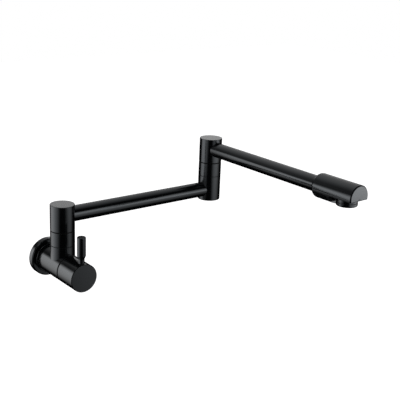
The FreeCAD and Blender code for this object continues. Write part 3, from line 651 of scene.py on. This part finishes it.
def ray_mask(tree):
    """1 for camera, glossy and transmission rays, which see a white background."""
    path = tree.nodes.new("ShaderNodeLightPath")
    total = path.outputs["Is Camera Ray"]
    for name in ("Is Glossy Ray", "Is Transmission Ray"):
        add = tree.nodes.new("ShaderNodeMath")
        add.operation = "MAXIMUM"
        tree.links.new(total, add.inputs[0])
        tree.links.new(path.outputs[name], add.inputs[1])
        total = add.outputs["Value"]
    return total


def make_world():
    """A dim even light, which looks white to the camera."""
    world = bpy.data.worlds.new("studio")
    bpy.context.scene.world = world
    world.use_nodes = True
    tree = world.node_tree
    light = tree.nodes["Background"]
    light.inputs["Color"].default_value = WHITE
    light.inputs["Strength"].default_value = WORLD_LIGHT
    backdrop = tree.nodes.new("ShaderNodeBackground")
    backdrop.inputs["Color"].default_value = WHITE
    backdrop.inputs["Strength"].default_value = 1.0
    mix = tree.nodes.new("ShaderNodeMixShader")
    tree.links.new(ray_mask(tree), mix.inputs["Fac"])
    tree.links.new(light.outputs["Background"], mix.inputs[1])
    tree.links.new(backdrop.outputs["Background"], mix.inputs[2])
    tree.links.new(mix.outputs["Shader"], tree.nodes["World Output"].inputs["Surface"])


def make_floor():
    """A matt pale floor far below, which takes the shadow and looks white to the camera."""
    mesh = bmesh.new()
    bmesh.ops.create_grid(mesh, x_segments=1, y_segments=1, size=8.0)
    floor = new_object("floor", mesh)
    floor.location = (STUDIO.x, STUDIO.y, FLOOR_HEIGHT)
    material = bpy.data.materials.new("pale_floor")
    material.use_nodes = True
    tree = material.node_tree
    matt = tree.nodes["Principled BSDF"]
    matt.inputs["Base Color"].default_value = FLOOR_GREY
    matt.inputs["Roughness"].default_value = 1.0
    matt.inputs["Specular IOR Level"].default_value = 0.0
    glow = tree.nodes.new("ShaderNodeEmission")
    glow.inputs["Color"].default_value = WHITE
    glow.inputs["Strength"].default_value = FLOOR_GLOW
    add = tree.nodes.new("ShaderNodeAddShader")
    tree.links.new(matt.outputs["BSDF"], add.inputs[0])
    tree.links.new(glow.outputs["Emission"], add.inputs[1])
    mix = tree.nodes.new("ShaderNodeMixShader")
    tree.links.new(ray_mask(tree), mix.inputs["Fac"])
    tree.links.new(matt.outputs["BSDF"], mix.inputs[1])
    tree.links.new(add.outputs["Shader"], mix.inputs[2])
    tree.links.new(mix.outputs["Shader"], tree.nodes["Material Output"].inputs["Surface"])
    floor.data.materials.append(material)
    floor.visible_glossy = False


def direction(turn, rise):
    """A direction by its turn from straight out of the wall, to the right, and its rise."""
    turn, rise = math.radians(turn), math.radians(rise)
    return Vector((math.sin(turn) * math.cos(rise), -math.cos(turn) * math.cos(rise),
                   math.sin(rise)))


def make_flags():
    """Black flags all round, seen only in reflections, open behind the object."""
    mesh = bmesh.new()
    corner = {}
    for turn in range(0, 361, FLAG_STEP):
        for rise in range(-90, 91, FLAG_STEP):
            spot = STUDIO + direction(turn, rise) * FLAG_DISTANCE
            corner[turn, rise] = mesh.verts.new(spot)
    for turn in range(0, 360, FLAG_STEP):
        for rise in range(-90, 90, FLAG_STEP):
            if turn in OPEN_TURNS and rise in OPEN_RISES:
                continue
            next_turn = turn + FLAG_STEP
            next_rise = rise + FLAG_STEP
            mesh.faces.new((corner[turn, rise], corner[next_turn, rise],
                            corner[next_turn, next_rise], corner[turn, next_rise]))
    flags = new_object("flags", mesh)
    material = bpy.data.materials.new("flag_black")
    material.use_nodes = True
    shader = material.node_tree.nodes["Principled BSDF"]
    shader.inputs["Base Color"].default_value = (0.0, 0.0, 0.0, 1.0)
    shader.inputs["Specular IOR Level"].default_value = 0.0
    flags.data.materials.append(material)
    flags.visible_camera = False
    flags.visible_diffuse = False
    flags.visible_shadow = False
    flags.visible_transmission = False


def softbox(name, turn, rise, distance, roll, radiance, left, right, bottom, top):
    """A soft area light on a plane that faces the object.

    The plane stands at a distance along its direction. Each side is given by where it
    ends on the plane, in metres from the middle, and the length over which it fades.
    """
    (left_end, left_fade), (right_end, right_fade) = left, right
    (bottom_end, bottom_fade), (top_end, top_fade) = bottom, top
    width, height = right_end - left_end, top_end - bottom_end
    data = bpy.data.lights.new(name, "AREA")
    data.shape = "RECTANGLE"
    data.size = width
    data.size_y = height
    data.energy = radiance * math.pi * width * height
    lamp = bpy.data.objects.new(name, data)
    bpy.context.scene.collection.objects.link(lamp)
    away = direction(turn, rise)
    facing = away.to_track_quat("Z", "Y").to_matrix() @ Matrix.Rotation(math.radians(roll), 3, "Z")
    middle = Vector(((left_end + right_end) / 2, (bottom_end + top_end) / 2, 0))
    lamp.location = STUDIO + away * distance + facing @ middle
    lamp.rotation_euler = facing.to_euler()
    lamp.visible_camera = False
    data.use_nodes = True
    tree = data.node_tree
    geometry = tree.nodes.new("ShaderNodeNewGeometry")
    split = tree.nodes.new("ShaderNodeSeparateXYZ")
    tree.links.new(geometry.outputs["Parametric"], split.inputs["Vector"])
    strength = None
    for axis, start, end in (("X", 0, left_fade / width), ("X", 1, 1 - right_fade / width),
                             ("Y", 0, bottom_fade / height), ("Y", 1, 1 - top_fade / height)):
        ramp = tree.nodes.new("ShaderNodeMapRange")
        ramp.interpolation_type = "SMOOTHSTEP"
        ramp.inputs["From Min"].default_value = min(start, end)
        ramp.inputs["From Max"].default_value = max(start, end)
        ramp.inputs["To Min"].default_value = 0.0 if start < end else 1.0
        ramp.inputs["To Max"].default_value = 1.0 if start < end else 0.0
        tree.links.new(split.outputs[axis], ramp.inputs["Value"])
        value = ramp.outputs["Result"]
        if strength is not None:
            product = tree.nodes.new("ShaderNodeMath")
            product.operation = "MULTIPLY"
            tree.links.new(strength, product.inputs[0])
            tree.links.new(value, product.inputs[1])
            value = product.outputs["Value"]
        strength = value
    tree.links.new(strength, tree.nodes["Emission"].inputs["Strength"])


make_world()
make_floor()
make_flags()
softbox("left_back", turn=-137, rise=-5, distance=0.9, roll=-12, radiance=3.2,
        left=(-0.3, 0.15), right=(0.75, 1.05), bottom=(-0.85, 1.5), top=(0.35, 0.25))
softbox("left_side", turn=-105, rise=-12, distance=0.65, roll=18, radiance=2.25,
        left=(-0.7, 0.65), right=(0.8, 1.15), bottom=(-0.3, 0.35), top=(0.6, 0.3))
softbox("right_front", turn=40, rise=2, distance=0.6, roll=-16, radiance=4.4,
        left=(-1.25, 0.7), right=(0.7, 0.9), bottom=(-0.65, 1.05), top=(0.3, 0.3))
softbox("low_front", turn=50, rise=-36, distance=0.9, roll=-2, radiance=0.45,
        left=(-0.45, 0.15), right=(0.35, 0.45), bottom=(-0.3, 0.2), top=(0.2, 0.2))
softbox("spout_front", turn=46, rise=-8, distance=0.9, roll=-9, radiance=2.6,
        left=(-0.2, 0.2), right=(0.25, 0.3), bottom=(-0.1, 0.15), top=(0.15, 0.15))
softbox("overhead", turn=140, rise=45, distance=0.8, roll=-9, radiance=0.82,
        left=(-1.25, 1.5), right=(1.15, 1.1), bottom=(-0.4, 0.2), top=(1.15, 1.05))
softbox("rim", turn=-85, rise=50, distance=0.8, roll=0, radiance=2.0,
        left=(-0.3, 0.2), right=(0.3, 0.2), bottom=(-0.25, 0.2), top=(0.25, 0.2))
softbox("left_top", turn=-150, rise=35, distance=0.7, roll=-2, radiance=0.4,
        left=(-0.45, 0.45), right=(0.5, 0.5), bottom=(-0.4, 0.5), top=(0.45, 0.6))


# ---------------------------------------------------------------- camera

CAMERA_SPOT = Vector((-560.4, -1043.97, 457.39))
CAMERA_TURN = -39.03
CAMERA_RISE = 17.33
CAMERA_ROLL = math.radians(2.38)
CAMERA_LENS = 76.38
SENSOR_WIDTH = 36.0


def make_camera():
    """The camera at the photograph's place, direction, roll and focal length."""
    backward = direction(CAMERA_TURN, CAMERA_RISE)
    right = (-backward).cross(Vector((0, 0, 1))).normalized()
    upward = right.cross(-backward)
    rolled_right = right * math.cos(CAMERA_ROLL) + upward * math.sin(CAMERA_ROLL)
    rolled_up = upward * math.cos(CAMERA_ROLL) - right * math.sin(CAMERA_ROLL)
    data = bpy.data.cameras.new("camera")
    data.sensor_width = SENSOR_WIDTH
    data.lens = CAMERA_LENS
    data.clip_start = 0.05
    data.clip_end = 60.0
    camera = bpy.data.objects.new("camera", data)
    bpy.context.scene.collection.objects.link(camera)
    placed = Matrix((rolled_right, rolled_up, backward)).transposed().to_4x4()
    placed.translation = CAMERA_SPOT * MM
    camera.matrix_world = placed
    bpy.context.scene.camera = camera


make_camera()
bpy.context.scene.view_settings.view_transform = "Standard"
